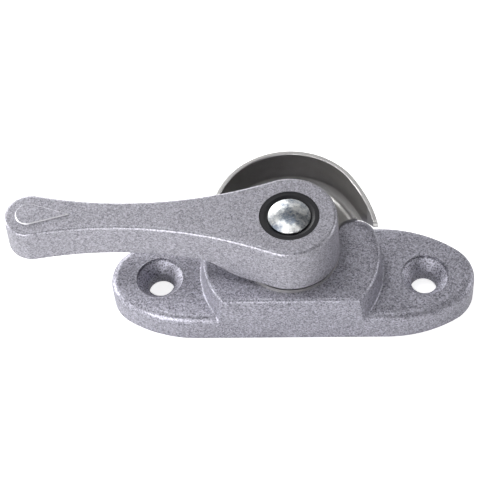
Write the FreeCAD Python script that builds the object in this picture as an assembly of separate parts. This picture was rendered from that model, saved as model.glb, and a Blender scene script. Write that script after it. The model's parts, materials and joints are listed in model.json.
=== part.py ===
import FreeCAD, Part
import math
import os

# Crescent lock for a sliding window, in millimetres.
# Origin: midway between the two screw holes, on the seating face. +X runs
# along the plate away from the locked lever, +Y points to the sash that is
# pulled in, +Z points out of the window frame.

# Base casting: the plate
plate_length = 82.7
plate_front = -11.67
plate_back = 13.9
plate_thickness = 7.4
plate_end_radius = 9.1
plate_end_y = 0.6
plate_front_straight = 43.1
plate_back_straight = 39.9
plate_edge_round = 1.8
plate_draft = 1.0
plate_wall = 2.2
plate_roof = 2.5

# Screw holes
screw_pitch = 60.0
screw_hole_radius = 3.0
screw_head_radius = 5.4
screw_head_sink = 0.5
screw_relief_radius = 4.4
screw_relief_depth = 1.5
screw_boss_radius = 6.8
pocket_rib = 1.8

# Base casting: the boss that carries the pivot
pivot_y = 1.6
boss_height = 14.5
boss_radius = 19.75
boss_back = 9.1
boss_corner_radius = 4.8
boss_side_draft = 7.2
boss_back_draft = 2.5
boss_edge_round = 0.9
boss_foot_round = 0.4
boss_wall = 2.0
boss_roof = 3.2

# Pivot: the spindle cast under the lever's hub
key_radius = 6.5
key_flat = 5.0
key_clearance = 0.05
journal_radius = 5.0
journal_clearance = 0.05
square_side = 6.4
square_clearance = 0.05
bush_wall = 1.0
bush_fit = 0.02
bush_flange_radius = 9.0
bush_flange_thickness = 0.8
bearing_drop = 1.7
bearing_wall = 1.4

# Stack under the bearing, from the top down
spring_washer_thickness = 0.4
spring_washer_rise = 0.4
spring_washer_radius = 6.8
thrust_washer_thickness = 0.6
thrust_washer_radius = 6.8
index_thickness = 3.0
index_flats = 9.6
index_corner_radius = 6.2
stop_plate_thickness = 1.2
stop_plate_radius = 6.4
stop_tab_reach = 9.5
stop_tab_width = 3.0
stop_play = 0.12
stop_block_width = 2.4
stop_block_gap = 0.35
retaining_thickness = 1.0
retaining_radius = 5.2
tail_radius = 3.2
tail_height = 1.3

# Leaf springs, hooked round cast posts
leaf_thickness = 0.5
leaf_height = 2.8
leaf_play = 0.05
leaf_bend_radius = 0.6
leaf_tab = 1.9
post_radius = 1.5
post_x = 11.4

# Crescent cam, drawn from sheet
sheet = 1.0
disc_radius = 10.8
rim_height = 25.6
crescent_radius = 16.85
crescent_centre_x = -0.2
crescent_centre_y = 3.3
crescent_fold_radius = 2.2
lead_in_angle = 33.0
lead_in_radius = 36.0
lead_end_low_y = 8.2
lead_end_high_y = -1.7
trail_end_y = 7.5
notch_inset = 2.0
notch_radius = 3.0
notch_height = 0.8
rim_corner_radius = 0.9
rim_round = 0.2

# Lever handle
handle_top = 28.4
lever_reach = 62.2
finger_radius = 5.45
hub_radius = 10.35
waist_half_width = 3.48
lever_draft = 3.2
lever_skew = 1.2
arm_underside = 19.4
hub_gap = 0.4
hub_shoulder_radius = 8.5
ramp_start_x = -20.5
ramp_end_x = -8.8
lever_top_round = 0.8
lever_low_round = 0.6
arm_wall = 2.0
arm_roof = 3.0
pocket_hub_gap = 17.5
pad_radius = 2.8
pad_length = 9.2
pad_height = 0.32
pad_round = 0.22
pad_setback = 0.15

# Black ring and domed rivet in the hub
ring_radius = 6.5
ring_fit = 0.05
ring_depth = 3.4
ring_floor = 1.0
ring_sink = 0.1
ring_step_radius = 5.55
ring_step_depth = 0.5
rivet_head_radius = 4.6
rivet_head_gap = 0.1
rivet_head_edge_sink = 0.2
rivet_dome_rise = 0.85
shank_radius = 2.0
shank_clearance = 0.08

# How far a cutting shape runs on past the faces that it cuts, and how far
# off its height an edge may be and still be taken to lie there
overrun = 1.0
level_error = 0.001

# The lever's waist is an arc that touches the hub and finger circles and
# passes waist_half_width from the middle line
span = lever_reach - finger_radius
run_out = (hub_radius ** 2 - finger_radius ** 2 + span ** 2) / (2 * span)
narrowing = (hub_radius - finger_radius) / span
steepness = hub_radius - waist_half_width - run_out * narrowing
surplus = run_out ** 2 - hub_radius ** 2 + waist_half_width ** 2
waist_radius = surplus / (steepness + math.sqrt(steepness ** 2 - narrowing ** 2 * surplus))

# Places worked out from the sizes above
cam_top = boss_height + sheet
hub_bottom = cam_top + hub_gap
bore_radius = journal_radius + journal_clearance + bush_wall + bush_fit
bearing_radius = bore_radius + bearing_wall
bearing_end = boss_height - boss_roof - bearing_drop
thrust_top = bearing_end - spring_washer_thickness - spring_washer_rise
index_top = thrust_top - thrust_washer_thickness
stop_plate_top = index_top - index_thickness
retaining_top = stop_plate_top - stop_plate_thickness
tail_top = retaining_top - retaining_thickness
leaf_face = index_flats / 2 + leaf_play
post_y = leaf_face + leaf_thickness + leaf_play + post_radius
ring_seat = handle_top - ring_sink - ring_depth
head_seat = ring_seat + ring_floor
finger_x = -(lever_reach - finger_radius)
crescent_centre = FreeCAD.Vector(crescent_centre_x, crescent_centre_y, 0)
PIVOT = FreeCAD.Vector(0, pivot_y, 0)
UP = FreeCAD.Vector(0, 0, 1)


def point(x, y, z=0.0):
    return FreeCAD.Vector(x, y, z)


def cylinder(radius, low, high, x=0.0, y=0.0):
    return Part.makeCylinder(radius, high - low, point(x, y, low), UP)


def tube(outer, inner, low, high):
    return cylinder(outer, low, high).cut(cylinder(inner, low, high))


def cone(low_radius, high_radius, low, high, x=0.0, y=0.0):
    return Part.makeCone(low_radius, high_radius, high - low, point(x, y, low), UP)


def block(x0, x1, y0, y1, z0, z1):
    return Part.makeBox(x1 - x0, y1 - y0, z1 - z0, point(x0, y0, z0))


def line(a, b):
    return Part.LineSegment(a, b).toShape()


def arc(centre, radius, start, end, z):
    circle = Part.Circle(point(centre.x, centre.y, z), UP, radius)
    return Part.Arc(circle, math.radians(start), math.radians(end)).toShape()


def prism(edges, height):
    face = Part.Face(Part.Wire(Part.__sortEdges__(edges)))
    return face.extrude(point(0, 0, height))


def drafted(low_edges, high_edges):
    wires = [Part.Wire(Part.__sortEdges__(edges)) for edges in (low_edges, high_edges)]
    return Part.makeLoft(wires, True, True)


def edges_at(shape, z):
    return [e for e in shape.Edges if max(abs(v.Point.z - z) for v in e.Vertexes) < level_error]


def lean(height, degrees):
    return height * math.tan(math.radians(degrees))


def plate_flank(half, straight):
    # Arc from a straight side, half away from the middle, to the end arc
    start_x = straight / 2
    run = plate_length / 2 - plate_end_radius - start_x
    radius = (half ** 2 - plate_end_radius ** 2 + run ** 2) / (2 * (half - plate_end_radius))
    return start_x, radius, math.degrees(math.atan2(radius - half, run))


def plate_edges(inset, z):
    # Oblong: straight sides run into flank arcs, and these into end arcs
    end_x = plate_length / 2 - plate_end_radius
    front_half = plate_end_y - plate_front
    back_half = plate_back - plate_end_y
    front_x, front_radius, front_angle = plate_flank(front_half, plate_front_straight)
    back_x, back_radius, back_angle = plate_flank(back_half, plate_back_straight)
    front_centre = plate_front + front_radius
    back_centre = plate_back - back_radius
    end_radius = plate_end_radius - inset
    front_y = plate_front + inset
    back_y = plate_back - inset
    return [
        line(point(-front_x, front_y, z), point(front_x, front_y, z)),
        arc(point(front_x, front_centre), front_radius - inset, -90, -front_angle, z),
        arc(point(end_x, plate_end_y), end_radius, -front_angle, back_angle, z),
        arc(point(back_x, back_centre), back_radius - inset, back_angle, 90, z),
        line(point(back_x, back_y, z), point(-back_x, back_y, z)),
        arc(point(-back_x, back_centre), back_radius - inset, 90, 180 - back_angle, z),
        arc(point(-end_x, plate_end_y), end_radius, 180 - back_angle, 180 + front_angle, z),
        arc(point(-front_x, front_centre), front_radius - inset, 180 + front_angle, 270, z),
    ]


def boss_edges(inset, z):
    # Circle about the pivot, cut off flush with the plate's front and
    # squared off behind with two round corners
    drop = boss_height - z
    radius = boss_radius + lean(drop, boss_side_draft) - inset
    back = boss_back + lean(drop, boss_back_draft) - inset
    front = plate_front + lean(z, plate_draft) - pivot_y + inset
    corner = boss_corner_radius
    corner_y = back - corner
    corner_x = math.sqrt((radius - corner) ** 2 - corner_y ** 2)
    front_angle = math.degrees(math.asin(front / radius))
    corner_angle = math.degrees(math.atan2(corner_y, corner_x))
    front_x = radius * math.cos(math.radians(front_angle))
    edges = [
        line(point(-front_x, front, z), point(front_x, front, z)),
        arc(point(0, 0), radius, front_angle, corner_angle, z),
        arc(point(corner_x, corner_y), corner, corner_angle, 90, z),
        line(point(corner_x, back, z), point(-corner_x, back, z)),
        arc(point(-corner_x, corner_y), corner, 90, 180 - corner_angle, z),
        arc(point(0, 0), radius, 180 - corner_angle, 180 - front_angle, z),
    ]
    for edge in edges:
        edge.translate(PIVOT)
    return edges


def plate_body():
    top_inset = lean(plate_thickness, plate_draft)
    body = drafted(plate_edges(0, 0), plate_edges(top_inset, plate_thickness))
    return body.makeFillet(plate_edge_round, edges_at(body, plate_thickness))


def boss_body():
    body = drafted(boss_edges(0, 0), boss_edges(0, boss_height))
    return body.makeFillet(boss_edge_round, edges_at(body, boss_height))


def screw_hole(x):
    cone_top = plate_thickness - screw_head_sink
    cone_low = cone_top - (screw_head_radius - screw_hole_radius)
    hole = cylinder(screw_hole_radius, -overrun, plate_thickness + overrun, x)
    hole = hole.fuse(cone(screw_hole_radius, screw_head_radius, cone_low, cone_top, x))
    hole = hole.fuse(cylinder(screw_head_radius, cone_top, plate_thickness + overrun, x))
    return hole.fuse(cylinder(screw_relief_radius, -overrun, screw_relief_depth, x))


def plate_pockets():
    # The plate is cored out from below round the screw bosses
    depth = plate_thickness - plate_roof
    low_inset = plate_wall
    high_inset = plate_wall + lean(depth, plate_draft)
    core = drafted(plate_edges(low_inset, 0), plate_edges(high_inset, depth))
    core = core.cut(drafted(boss_edges(0, 0), boss_edges(0, depth)))
    half = pocket_rib / 2
    for side in (-1, 1):
        x = side * screw_pitch / 2
        core = core.cut(cylinder(screw_boss_radius, 0, depth, x))
        core = core.cut(block(x - half, x + half, plate_front, plate_back, 0, depth))
    reach = plate_length / 2
    return core.cut(block(-reach, reach, -half, half, 0, depth))


def base_casting():
    roof = boss_height - boss_roof
    body = plate_body().fuse(boss_body()).removeSplitter()
    # Where the boss's sides meet the plate, the edges are free-form curves
    foot = [e for e in edges_at(body, plate_thickness) if isinstance(e.Curve, Part.BSplineCurve)]
    body = body.makeFillet(boss_foot_round, foot)
    body = body.cut(plate_pockets())
    body = body.cut(drafted(boss_edges(boss_wall, 0), boss_edges(boss_wall, roof)))
    fittings = [cylinder(bearing_radius, bearing_end, roof)]
    for side in (-1, 1):
        for spring_side in (-1, 1):
            post = cylinder(post_radius, stop_plate_top, roof, side * post_x, spring_side * post_y)
            fittings.append(post)
        near = bearing_radius + stop_block_gap
        far = stop_tab_reach + stop_block_gap
        stop_face = stop_tab_width / 2 + stop_play
        x_range = (near, far) if side > 0 else (-far, -near)
        fittings.append(block(*x_range, stop_face, stop_face + stop_block_width, retaining_top, roof))
    for fitting in fittings:
        fitting.translate(PIVOT)
        body = body.fuse(fitting)
    body = body.removeSplitter()
    recess = boss_height - bush_flange_thickness
    bore = cylinder(bore_radius, bearing_end - overrun, boss_height + overrun)
    bore = bore.fuse(cylinder(bush_flange_radius + bush_fit, recess, boss_height + overrun))
    bore.translate(PIVOT)
    body = body.cut(bore)
    for side in (-1, 1):
        body = body.cut(screw_hole(side * screw_pitch / 2))
    return body


def pivot_bush():
    sleeve = cylinder(bore_radius - bush_fit, bearing_end, boss_height)
    flange = cylinder(bush_flange_radius, boss_height - bush_flange_thickness, boss_height)
    inner = cylinder(journal_radius + journal_clearance, bearing_end - overrun, boss_height + overrun)
    return sleeve.fuse(flange).removeSplitter().cut(inner)


def spring_washer():
    # Cone of spring steel: its narrow end bears on the thrust washer
    inner = journal_radius + 2 * journal_clearance
    low = thrust_top
    high = bearing_end
    corners = [
        point(inner, 0, low),
        point(inner, 0, low + spring_washer_thickness),
        point(spring_washer_radius, 0, high),
        point(spring_washer_radius, 0, high - spring_washer_thickness),
    ]
    face = Part.Face(Part.makePolygon(corners + corners[:1]))
    return face.revolve(point(0, 0), UP, 360)


def thrust_washer():
    inner = journal_radius + 2 * journal_clearance
    return tube(thrust_washer_radius, inner, index_top, thrust_top)


def square(side, low, high):
    half = side / 2
    return block(-half, half, -half, half, low, high)


def index_plate():
    body = cylinder(index_corner_radius, stop_plate_top, index_top)
    body = body.common(square(index_flats, stop_plate_top, index_top))
    hole = square(square_side + 2 * square_clearance, stop_plate_top, index_top)
    return body.cut(hole)


def stop_plate():
    low = retaining_top
    high = stop_plate_top
    half = stop_tab_width / 2
    body = cylinder(stop_plate_radius, low, high)
    tab = block(-stop_tab_reach, 0, -half, half, low, high)
    body = body.fuse(tab).removeSplitter()
    return body.cut(square(square_side + 2 * square_clearance, low, high))


def retaining_washer():
    return tube(retaining_radius, shank_radius + shank_clearance, tail_top, retaining_top)


def leaf_spring(side):
    # Flat strip along the index plate, its ends turned out round the posts
    low = index_top - (index_thickness + leaf_height) / 2
    near = leaf_face
    far = near + leaf_thickness
    outer_bend = leaf_bend_radius + leaf_thickness
    end = post_x + post_radius + leaf_play + leaf_thickness
    inner_end = end - leaf_thickness
    bend_x = end - outer_bend
    bend_y = near + outer_bend
    tip = near + leaf_tab
    edges = [
        line(point(-bend_x, near, low), point(bend_x, near, low)),
        arc(point(bend_x, bend_y), outer_bend, -90, 0, low),
        line(point(end, bend_y, low), point(end, tip, low)),
        line(point(end, tip, low), point(inner_end, tip, low)),
        line(point(inner_end, tip, low), point(inner_end, bend_y, low)),
        arc(point(bend_x, bend_y), leaf_bend_radius, -90, 0, low),
        line(point(bend_x, far, low), point(-bend_x, far, low)),
        arc(point(-bend_x, bend_y), leaf_bend_radius, 180, 270, low),
        line(point(-inner_end, bend_y, low), point(-inner_end, tip, low)),
        line(point(-inner_end, tip, low), point(-end, tip, low)),
        line(point(-end, tip, low), point(-end, bend_y, low)),
        arc(point(-bend_x, bend_y), outer_bend, 180, 270, low),
    ]
    spring = prism(edges, leaf_height)
    if side < 0:
        spring = spring.mirror(point(0, 0), point(0, 1))
    return spring


def crescent_plan(inset, z, longer):
    # Plan of the wall: an arc set off from the pivot with a flatter lead-in
    # arc tangent to it at the right, closed across the disc by one line
    radius = crescent_radius - inset
    lead_radius = lead_in_radius - inset
    lead = math.radians(lead_in_angle)
    lead_centre = crescent_centre - point(math.cos(lead), math.sin(lead)) * (lead_radius - radius)
    tip = math.asin((lead_end_high_y - longer - lead_centre.y) / lead_radius)
    trail = math.pi - math.asin((trail_end_y - longer - crescent_centre_y) / radius)
    wall = [
        arc(lead_centre, lead_radius, math.degrees(tip), lead_in_angle, z),
        arc(crescent_centre, radius, lead_in_angle, math.degrees(trail), z),
    ]
    start, end = wall[0].Vertexes[0].Point, wall[1].Vertexes[-1].Point
    return wall + [line(end, start)]


def round_edges(shape, z):
    return [edge for edge in edges_at(shape, z) if isinstance(edge.Curve, Part.Circle)]


def crescent_block(inset, low, high, longer, fold_radius):
    # The filled crescent, its lower edge rounded along the wall alone
    body = prism(crescent_plan(inset, low, longer), high - low)
    return body.makeFillet(fold_radius, round_edges(body, low))


def end_cutter(low_y, high_y, side):
    # Cuts an end of the wall along a line that leans from low_y at the disc
    # to high_y at the rim, rounds its corner at the rim, and cuts a round
    # notch between the wall and the disc
    low = boss_height - overrun
    high = rim_height + overrun
    far = -crescent_radius
    wall_x = crescent_centre_x + side * (crescent_radius - sheet - notch_inset)
    corner = point(wall_x, high_y, rim_height)
    foot = point(wall_x, low_y, cam_top)
    down = (foot - corner).normalize()
    back = point(0, 1)
    half_angle = down.getAngle(back) / 2
    reach = rim_corner_radius / math.tan(half_angle)
    inward = (down + back).normalize()
    middle = corner + inward * (rim_corner_radius / math.sin(half_angle) - rim_corner_radius)
    corners = [
        corner + back * reach,
        point(wall_x, high_y + reach, high),
        point(wall_x, far, high),
        point(wall_x, far, low),
        point(wall_x, low_y, low),
        foot,
        corner + down * reach,
    ]
    edges = [line(a, b) for a, b in zip(corners, corners[1:])]
    edges.append(Part.Arc(corners[-1], middle, corners[0]).toShape())
    face = Part.Face(Part.Wire(Part.__sortEdges__(edges)))
    cutter = face.extrude(point(side * 2 * crescent_radius, 0))
    notch_y = low_y - notch_radius
    cutter = cutter.fuse(cylinder(notch_radius, low, cam_top + notch_height, wall_x, notch_y))
    x_range = sorted((side * key_radius, wall_x))
    return cutter.fuse(block(*x_range, far, notch_y, low, high))


def key_section(radius, flat, low, high):
    return cylinder(radius, low, high).common(block(-radius, radius, -flat, flat, low, high))


def crescent_cam():
    # The inside is made longer than the outside, so that both ends open
    outer = crescent_block(0, boss_height, rim_height, sheet, crescent_fold_radius + sheet)
    inner = crescent_block(sheet, cam_top, rim_height + overrun, 4 * sheet, crescent_fold_radius)
    body = outer.cut(inner)
    body = body.makeFillet(rim_round, round_edges(body, rim_height))
    body = body.cut(end_cutter(lead_end_low_y, lead_end_high_y, 1))
    body = body.cut(end_cutter(trail_end_y, trail_end_y, -1))
    body = body.fuse(cylinder(disc_radius, boss_height, cam_top)).removeSplitter()
    return body.cut(key_section(key_radius + key_clearance, key_flat + key_clearance, 0, handle_top))


def lever_edges(offset, z):
    # Hub circle and finger circle joined by two hollow arcs
    hub = hub_radius + offset
    finger = finger_radius + offset
    to_hub = hub_radius + waist_radius
    to_finger = finger_radius + waist_radius
    span = -finger_x
    waist_x = (to_hub ** 2 - to_finger ** 2 + span ** 2) / (2 * span)
    waist_y = math.sqrt(to_hub ** 2 - waist_x ** 2)
    hub_angle = math.degrees(math.atan2(waist_y, -waist_x))
    finger_angle = math.degrees(math.atan2(waist_y, span - waist_x))
    hollow = waist_radius - offset
    return [
        arc(point(0, 0), hub, -hub_angle, hub_angle, z),
        arc(point(-waist_x, waist_y), hollow, 180 + finger_angle, 180 + hub_angle, z),
        arc(point(finger_x, 0), finger, finger_angle, 360 - finger_angle, z),
        arc(point(-waist_x, -waist_y), hollow, 180 - hub_angle, 180 - finger_angle, z),
    ]


def under_arm():
    # Room under the arm, with a smooth ramp down to the hub
    low = hub_bottom - overrun
    left = -lever_reach - finger_radius
    third = (ramp_end_x - ramp_start_x) / 2
    ramp = Part.BezierCurve()
    ramp.setPoles([
        point(ramp_start_x, 0, arm_underside),
        point(ramp_start_x + third, 0, arm_underside),
        point(ramp_end_x - third, 0, hub_bottom),
        point(ramp_end_x, 0, hub_bottom),
    ])
    edges = [
        line(point(left, 0, low), point(left, 0, arm_underside)),
        line(point(left, 0, arm_underside), point(ramp_start_x, 0, arm_underside)),
        ramp.toShape(),
        line(point(ramp_end_x, 0, hub_bottom), point(ramp_end_x, 0, low)),
        line(point(ramp_end_x, 0, low), point(left, 0, low)),
    ]
    face = Part.Face(Part.Wire(Part.__sortEdges__(edges)))
    face.translate(point(0, -2 * hub_radius, 0))
    return face.extrude(point(0, 4 * hub_radius, 0))


def finger_pad():
    # Low teardrop pad, its round end towards the finger end
    centre_x = finger_x - pad_setback
    tip_x = centre_x + pad_length
    angle = math.degrees(math.acos(pad_radius / pad_length))
    z = handle_top - pad_height
    top = handle_top + pad_height
    turn = math.radians(angle)
    tangent = point(centre_x + pad_radius * math.cos(turn), pad_radius * math.sin(turn), z)
    mirrored = point(tangent.x, -tangent.y, z)
    edges = [
        arc(point(centre_x, 0), pad_radius, angle, 360 - angle, z),
        line(tangent, point(tip_x, 0, z)),
        line(point(tip_x, 0, z), mirrored),
    ]
    pad = prism(edges, top - z)
    return pad.makeChamfer(pad_round, edges_at(pad, top))


def arm_pocket():
    # Core under the arm: what is left is an even wall
    low = arm_underside - overrun
    high = handle_top - arm_roof
    low_inset = arm_wall - lean(handle_top - low, lever_draft)
    inner = drafted(lever_edges(-low_inset, low), lever_edges(-arm_wall, high))
    room = block(-lever_reach, -pocket_hub_gap, -hub_radius, hub_radius, low, high)
    return inner.common(room)


def spindle():
    # Cast under the hub: shoulder, two-flat key, journal and square end
    body = cylinder(hub_shoulder_radius, cam_top, hub_bottom)
    body = body.fuse(key_section(key_radius, key_flat, boss_height, cam_top))
    body = body.fuse(cylinder(journal_radius, index_top, boss_height))
    return body.fuse(square(square_side, retaining_top, index_top))


def lever_handle():
    height = handle_top - hub_bottom
    body = drafted(lever_edges(lean(height, lever_draft), hub_bottom), lever_edges(0, handle_top))
    body = body.cut(under_arm())
    body = body.makeFillet(lever_top_round, edges_at(body, handle_top))
    lower = [e for e in body.Edges if e.BoundBox.ZMax < arm_underside + level_error]
    body = body.makeFillet(lever_low_round, lower)
    body = body.cut(arm_pocket()).fuse(finger_pad())
    body.rotate(point(0, 0), UP, -lever_skew)
    body = body.fuse(spindle()).removeSplitter()
    body = body.cut(cylinder(ring_radius + ring_fit, ring_seat, handle_top + overrun))
    return body.cut(cylinder(shank_radius + shank_clearance, 0, handle_top))


def pivot_ring():
    top = handle_top - ring_sink
    head_room = rivet_head_radius + rivet_head_gap
    body = cylinder(ring_radius, ring_seat, top)
    body = body.cut(cylinder(shank_radius + shank_clearance, ring_seat, top))
    body = body.cut(cylinder(head_room, head_seat, top))
    return body.cut(cone(head_room, ring_step_radius, top - ring_step_depth, top))


def pivot_rivet():
    edge = handle_top - rivet_head_edge_sink
    shank = cylinder(shank_radius, tail_top, head_seat)
    head = cylinder(rivet_head_radius, head_seat, edge)
    dome_radius = (rivet_head_radius ** 2 + rivet_dome_rise ** 2) / (2 * rivet_dome_rise)
    dome = Part.makeSphere(dome_radius, point(0, 0, edge + rivet_dome_rise - dome_radius))
    dome = dome.common(cylinder(rivet_head_radius, edge, edge + rivet_dome_rise + overrun))
    tail = cylinder(tail_radius, tail_top - tail_height, tail_top)
    return shank.fuse([head, dome, tail]).removeSplitter()


def on_pivot(shape):
    shape.translate(PIVOT)
    return shape


nodes = {
    "base_casting": base_casting(),
    "pivot_bush": on_pivot(pivot_bush()),
    "spring_washer": on_pivot(spring_washer()),
    "thrust_washer": on_pivot(thrust_washer()),
    "leaf_spring_front": on_pivot(leaf_spring(-1)),
    "leaf_spring_back": on_pivot(leaf_spring(1)),
    "lever_handle": on_pivot(lever_handle()),
    "crescent_cam": on_pivot(crescent_cam()),
    "pivot_ring": on_pivot(pivot_ring()),
    "pivot_rivet": on_pivot(pivot_rivet()),
    "index_plate": on_pivot(index_plate()),
    "stop_plate": on_pivot(stop_plate()),
    "retaining_washer": on_pivot(retaining_washer()),
}

os.makedirs("parts", exist_ok=True)
for name, shape in nodes.items():
    solids = shape.Solids
    print(name, shape.ShapeType, len(solids), shape.isValid(), round(shape.Volume, 1))
    shape.exportStep("parts/" + name + ".step")
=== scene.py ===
import json
import math

import bpy
from mathutils import Matrix, Vector

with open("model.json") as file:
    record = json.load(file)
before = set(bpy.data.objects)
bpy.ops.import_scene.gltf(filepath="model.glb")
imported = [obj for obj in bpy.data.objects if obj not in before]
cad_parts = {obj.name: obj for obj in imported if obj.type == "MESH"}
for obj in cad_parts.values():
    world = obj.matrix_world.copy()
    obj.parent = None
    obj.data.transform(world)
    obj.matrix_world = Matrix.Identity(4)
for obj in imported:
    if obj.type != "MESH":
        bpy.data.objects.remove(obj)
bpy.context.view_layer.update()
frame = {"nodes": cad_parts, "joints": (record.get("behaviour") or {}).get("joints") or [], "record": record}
nodes = frame["nodes"]
MM = 0.001
bpy.ops.object.select_all(action="DESELECT")


# Base casting: one zinc die casting, tumbled so that its edges are soft, then
# powder coated in silver grey. The coat bakes to a fine orange peel, and its
# aluminium flakes lie at all angles in it, so every grain catches the light.
class Value:
    """A number or colour in a finish, which Python sums can use."""

    def __init__(self, tree, socket):
        self.tree = tree
        self.socket = socket

    def sum(self, operation, *others, clamp=False):
        node = self.tree.nodes.new("ShaderNodeMath")
        node.operation = operation
        node.use_clamp = clamp
        for socket, value in zip(node.inputs, (self,) + others):
            put(self.tree, socket, value)
        return Value(self.tree, node.outputs[0])

    def __add__(self, other):
        return self.sum("ADD", other)

    def __sub__(self, other):
        return self.sum("SUBTRACT", other)

    def __mul__(self, other):
        return self.sum("MULTIPLY", other)

    def __rsub__(self, other):
        return (self * -1) + other

    __radd__ = __add__
    __rmul__ = __mul__

    def ramp(self, start, end):
        """A mask that is 0 up to start, rises to 1 at end and stays 1 past it."""
        return (self - start).sum("MULTIPLY", 1 / (end - start), clamp=True)


def put(tree, socket, value):
    if isinstance(value, Value):
        tree.links.new(value.socket, socket)
    else:
        socket.default_value = value


class Finish:
    """One surface finish: a material, and the nodes that vary it."""

    def __init__(self, name, **constants):
        self.material = bpy.data.materials.new(name)
        self.material.use_nodes = True
        self.tree = self.material.node_tree
        self.shader = self.tree.nodes["Principled BSDF"]
        self.set(**constants)
        self.place = self.node("TexCoord", "Object")

    def set(self, **sockets):
        for name, value in sockets.items():
            put(self.tree, self.shader.inputs[name.replace("_", " ")], value)

    def node(self, kind, output=0, settings=None, **sockets):
        node = self.tree.nodes.new("ShaderNode" + kind)
        for name, value in (settings or {}).items():
            setattr(node, name, value)
        for name, value in sockets.items():
            put(self.tree, node.inputs[name.replace("_", " ")], value)
        return Value(self.tree, node.outputs[output])

    def along(self, axis):
        """How far each point lies along one axis of the lock, in metres."""
        return self.node("SeparateXYZ", axis, Vector=self.place)

    def grain(self, size, detail=2.0, rough=0.5, place=None):
        """Even noise, from 0 to 1, whose lumps are about size metres across."""
        return self.node(
            "TexNoise", "Fac",
            Vector=place or self.place, Scale=1 / size, Detail=detail, Roughness=rough,
        )

    def shade(self, factor, low, high):
        """A colour between low and high."""
        low, high = ((*end, 1.0) if isinstance(end, tuple) else end for end in (low, high))
        return self.node("Mix", "Result", {"data_type": "RGBA"}, Factor=factor, A=low, B=high)

    def bump(self, height, depth):
        """Relief that is depth metres high where height is 1."""
        return self.node("Bump", Height=height, Strength=1.0, Distance=depth)

    def on(self, *pieces):
        for piece in pieces:
            piece.data.materials.clear()
            piece.data.materials.append(self.material)


mounts = {mount["name"]: mount for mount in frame["record"]["mounts"]}
hole_reach = mounts["screw_holes"]["dims"]["spacing_x_mm"] / 2 * MM
countersink_radius = 5.4 * MM
flake_size = 0.27 * MM
pebble_size = 0.33 * MM
patch_size = 6 * MM


def sparkle_coat(name, dark, light, relief, has_screw_holes=False):
    """Baked powder coat, pebbled by relief metres; countersinks rougher, with painted shade at their rims.
    """
    coat = Finish(name, Metallic=0.65, Roughness=0.5, Coat_Weight=0.15, Coat_Roughness=0.3)
    cells = coat.node("TexVoronoi", "Color", Vector=coat.place, Scale=1 / flake_size)
    flakes = coat.node("SeparateColor", "Red", Color=cells)
    pebbles = coat.grain(pebble_size, rough=0.6)
    patches = coat.grain(patch_size)
    tone = flakes * 0.72 + (pebbles - 0.5) * 1.2 + (patches - 0.5) * 0.2 + 0.14
    if has_screw_holes:
        across = coat.along("X").sum("ABSOLUTE") - hole_reach
        y = coat.along("Y")
        from_axis = (across * across + y * y).sum("SQRT")
        inside = from_axis.ramp(countersink_radius + 0.1 * MM, countersink_radius - 0.1 * MM)
        # Painted shade: a darker ring just inside each countersink's rim.
        painted_lip_shade = from_axis.ramp(countersink_radius - 0.35 * MM, countersink_radius - 0.15 * MM)
        tone = tone + (pebbles - 0.43) * inside * 2.6 - painted_lip_shade * inside * 0.7
        pebbles = pebbles * (inside * 4 + 1)
    coat.colour = coat.shade(tone, dark, light)
    coat.set(Base_Color=coat.colour, Normal=coat.bump(pebbles + flakes * 0.12, relief))
    return coat


base_coat = sparkle_coat(
    "base_coat", (0.145, 0.142, 0.170), (0.66, 0.65, 0.74), 0.027 * MM, has_screw_holes=True
)
base_coat.on(nodes["base_casting"])


# Pivot bush: natural acetal, turned from bar and pressed into the boss from
# above. Its flange carries the cam.
acetal = Finish("acetal", Roughness=0.42)
turning = acetal.grain(0.6 * MM, detail=4.0)
acetal.set(
    Base_Color=acetal.shade(turning, (0.70, 0.67, 0.60), (0.80, 0.78, 0.72)),
    Normal=acetal.bump(turning, 0.01 * MM),
)
acetal.on(nodes["pivot_bush"])


# Springs: the conical washer and the two flat leaves, blanked from blued
# spring steel. Heat has left them bluish with straw-coloured clouds.
blued_steel = Finish("blued_steel", Metallic=1.0)
clouds = blued_steel.grain(3 * MM, detail=4.0)
blued_steel.set(
    Base_Color=blued_steel.shade(clouds, (0.13, 0.15, 0.24), (0.30, 0.27, 0.22)),
    Roughness=clouds * 0.2 + 0.22,
)
blued_steel.on(nodes["spring_washer"], nodes["leaf_spring_front"], nodes["leaf_spring_back"])


# Thrust washer, index plate, stop plate and retaining washer: pressed from
# steel strip and barrel plated with zinc, which leaves a soft cloudy shine.
barrel_zinc = Finish("barrel_zinc", Metallic=1.0)
bloom = barrel_zinc.grain(1.6 * MM, detail=5.0, rough=0.6)
barrel_zinc.set(
    Base_Color=barrel_zinc.shade(bloom, (0.42, 0.42, 0.40), (0.66, 0.66, 0.62)),
    Roughness=bloom * 0.3 + 0.2,
    Normal=barrel_zinc.bump(barrel_zinc.grain(0.15 * MM), 0.01 * MM),
)
for pressing in ("thrust_washer", "index_plate", "stop_plate", "retaining_washer"):
    barrel_zinc.on(nodes[pressing])


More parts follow.
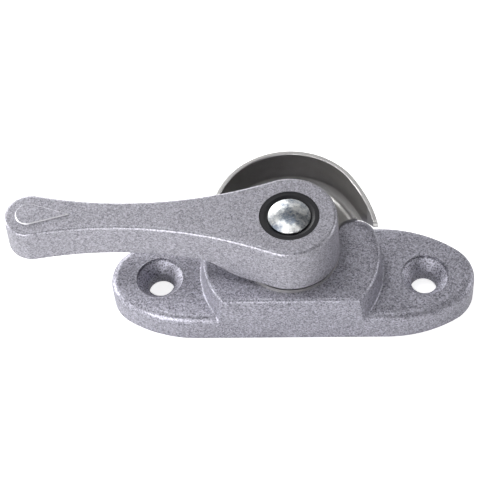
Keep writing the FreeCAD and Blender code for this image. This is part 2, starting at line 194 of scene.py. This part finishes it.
# Crescent cam: steel sheet, blanked, drawn to a crescent with an upturned
# wall, barrel polished and nickel plated. Drawing leaves faint lines round
# the wall. A band along the fold is rougher and painted near white as a
# painted highlight; the sheared edges are rougher, and paler as a painted highlight.
cam = nodes["crescent_cam"]
pivot_x, pivot_y = frame["joints"][0]["pos_m"][:2]
disc_radius = pivot_y - min(corner[1] for corner in cam.bound_box)
rim = max(corner[2] for corner in cam.bound_box)
sheet = 1.0 * MM
disc_top = min(corner[2] for corner in cam.bound_box) + sheet
nickel = Finish("nickel", Metallic=1.0)
drawn_round = nickel.node("Mapping", Vector=nickel.place, Scale=(0.05, 0.05, 1.0))
draw_lines = nickel.grain(0.35 * MM, detail=3.0, place=drawn_round)
handling = nickel.grain(2.2 * MM, detail=5.0, rough=0.6)
height = nickel.along("Z")
sideways = nickel.along("X") - pivot_x
back = nickel.along("Y") - pivot_y
from_pivot = (sideways * sideways + back * back).sum("SQRT")
at_rim = height.ramp(rim - 0.31 * MM, rim - 0.19 * MM)
at_disc_edge = from_pivot.ramp(disc_radius - 0.12 * MM, disc_radius)
in_front = back.ramp(4.06 * MM, 3.94 * MM)
# Rim top and front edge of the disc: rougher, and paler as a painted highlight.
rough_edge_and_highlight = at_rim.sum("MAXIMUM", at_disc_edge * in_front)
# The band along the fold, made rougher and painted as a highlight.
above_disc = height.ramp(disc_top + 0.25 * MM, disc_top + 0.58 * MM)
below_wall = height.ramp(disc_top + 2.5 * MM, disc_top + 1.83 * MM)
fold_highlight_band = above_disc * below_wall
face_colour = nickel.shade(handling, (0.46, 0.45, 0.435), (0.62, 0.61, 0.60))
# Painted highlight: the fold band's colour goes near white.
painted_fold_highlight = nickel.shade(fold_highlight_band, face_colour, (0.95, 0.94, 0.92))
nickel.set(
    Base_Color=nickel.shade(rough_edge_and_highlight, painted_fold_highlight, (0.66, 0.65, 0.64)),
    Roughness=handling * 0.16 + draw_lines * 0.08 + 0.20 + rough_edge_and_highlight * 0.15 + fold_highlight_band * 0.3,
    Normal=nickel.bump(draw_lines + handling * 0.5, 0.012 * MM),
)
nickel.on(cam)


# Lever handle: a second zinc casting in the same powder coat, smoother than
# the base; its slightly lighter tone is painted light, standing in for the
# stronger light on the higher lever top. The sloping edge of the teardrop
# pad, which stands above the arm's top, is a pale painted highlight line.
lever = nodes["lever_handle"]
pad_top = max(corner[2] for corner in lever.bound_box)
pad_foot = pad_top - 0.32 * MM
# Slightly lighter colours than base_coat: painted light on the lever top.
lever_coat = sparkle_coat("lever_coat", (0.21, 0.206, 0.233), (0.62, 0.61, 0.68), 0.016 * MM)
height = lever_coat.along("Z")
above_arm = height.ramp(pad_foot + 0.02 * MM, pad_foot + 0.07 * MM)
below_pad_top = height.ramp(pad_top - 0.01 * MM, pad_top - 0.06 * MM)
# Painted highlight: a pale line all round the pad's sloping edge.
pad_edge_highlight = above_arm * below_pad_top
lever_coat.set(Base_Color=lever_coat.shade(pad_edge_highlight, lever_coat.colour, (0.97, 0.96, 1.0)))
lever_coat.on(lever)


# Pivot ring: moulded in black nylon, with a stepped inner edge, and dropped
# into the hub's counterbore. Its skin is slightly glossy.
black_nylon = Finish("black_nylon", Roughness=0.45)
skin = black_nylon.grain(0.35 * MM, detail=3.0)
black_nylon.set(
    Base_Color=black_nylon.shade(skin, (0.006, 0.006, 0.008), (0.016, 0.016, 0.02)),
    Normal=black_nylon.bump(skin, 0.012 * MM),
)
black_nylon.on(nodes["pivot_ring"])


# Pivot rivet: a steel rivet with a low domed head, zinc plated after turning.
# The plating is cloudy and stained, and the hammered head is not quite even.
bright_zinc = Finish("bright_zinc", Metallic=1.0)
mottle = bright_zinc.grain(0.5 * MM, detail=6.0, rough=0.8)
stain_place = bright_zinc.node("Mapping", Vector=bright_zinc.place, Location=(0, 3 * MM, 0))
stains = bright_zinc.grain(3.4 * MM, detail=3.0, rough=0.55, place=stain_place)
dents = bright_zinc.grain(2.6 * MM)
cloud = (stains - 0.45) * 3.6 + (mottle - 0.5) * 3.2 + 0.35
bright_zinc.set(
    Base_Color=bright_zinc.shade(cloud, (0.20, 0.23, 0.28), (0.80, 0.81, 0.80)),
    Roughness=mottle * 0.25 + 0.2,
    Normal=bright_zinc.bump(dents * 4 + mottle, 0.05 * MM),
)
bright_zinc.on(nodes["pivot_rivet"])


# Studio: a wide white floor that the camera sees as pure white, but for the
# faint shadow round the lock. The room beyond it is dim and even.
bpy.ops.mesh.primitive_plane_add(size=3, location=(0, 0, -0.05 * MM))
floor = bpy.context.active_object
floor.name = "floor"
ground = Finish(
    "white_ground", Base_Color=(0.8, 0.8, 0.8, 1), Roughness=1.0, Emission_Color=(1, 1, 1, 1)
)
seen, through, mirrored = (
    ground.node("LightPath", "Is %s Ray" % kind) for kind in ("Camera", "Transmission", "Glossy")
)
ground.set(Emission_Strength=(seen + through) * 0.85 + mirrored * 0.25)
ground.on(floor)

room = bpy.data.worlds.new("room")
room.use_nodes = True
room_light = room.node_tree.nodes["Background"].inputs
room_light["Color"].default_value = (0.99, 0.99, 1.06, 1)
room_light["Strength"].default_value = 0.05
bpy.context.scene.world = room


# Lamps: six softboxes round the lock, the strongest of them low on its left,
# so that soft edges catch the light and its right side falls into shade.
def direction(azimuth, elevation):
    """Unit vector from the lock: degrees round from the front to the right, and up."""
    turn, rise = math.radians(azimuth), math.radians(elevation)
    level = math.cos(rise)
    return Vector((math.sin(turn) * level, -math.cos(turn) * level, math.sin(rise)))


def softbox(name, width, height, power, azimuth, elevation, distance=0.8):
    """A lamp of width by height metres and power watts, turned to the lock."""
    light = bpy.data.lights.new(name, "AREA")
    light.shape = "RECTANGLE"
    light.size = width
    light.size_y = height
    light.energy = power
    lamp = bpy.data.objects.new(name, light)
    way = direction(azimuth, elevation)
    lamp.location = way * distance
    lamp.rotation_euler = way.to_track_quat("Z", "Y").to_euler()
    bpy.context.scene.collection.objects.link(lamp)


softbox("front_left", 0.35, 0.3, 4.7, azimuth=-27, elevation=13)
softbox("left", 0.35, 0.3, 4.2, azimuth=-100, elevation=12)
softbox("back_left", 0.6, 0.35, 3.4, azimuth=-150, elevation=20)
softbox("back", 1.6, 0.35, 1.5, azimuth=175, elevation=22, distance=0.9)
softbox("right", 0.35, 0.3, 1.6, azimuth=100, elevation=20)
softbox("overhead", 0.3, 0.3, 1.7, azimuth=-118, elevation=78)


# Camera: a long lens looking down on the lock from a little right of its
# front, rolled slightly. The lock's origin lies right of and below the middle.
towards = direction(azimuth=5.67, elevation=54.48)
roll = math.radians(5.30)
reach = 318.33 * MM
origin_right = 11.19 * MM
origin_up = -11.60 * MM
level_right = Vector((0, 0, 1)).cross(towards).normalized()
level_up = towards.cross(level_right)
right = level_right * math.cos(roll) - level_up * math.sin(roll)
up = level_right * math.sin(roll) + level_up * math.cos(roll)
lens = bpy.data.cameras.new("camera")
lens.lens = 101.68
camera = bpy.data.objects.new("camera", lens)
bpy.context.scene.collection.objects.link(camera)
stand = towards * reach - right * origin_right - up * origin_up
turned = Matrix((right, up, towards)).transposed().to_4x4()
camera.matrix_world = Matrix.Translation(stand) @ turned
bpy.context.scene.camera = camera
bpy.context.scene.view_settings.view_transform = "Standard"
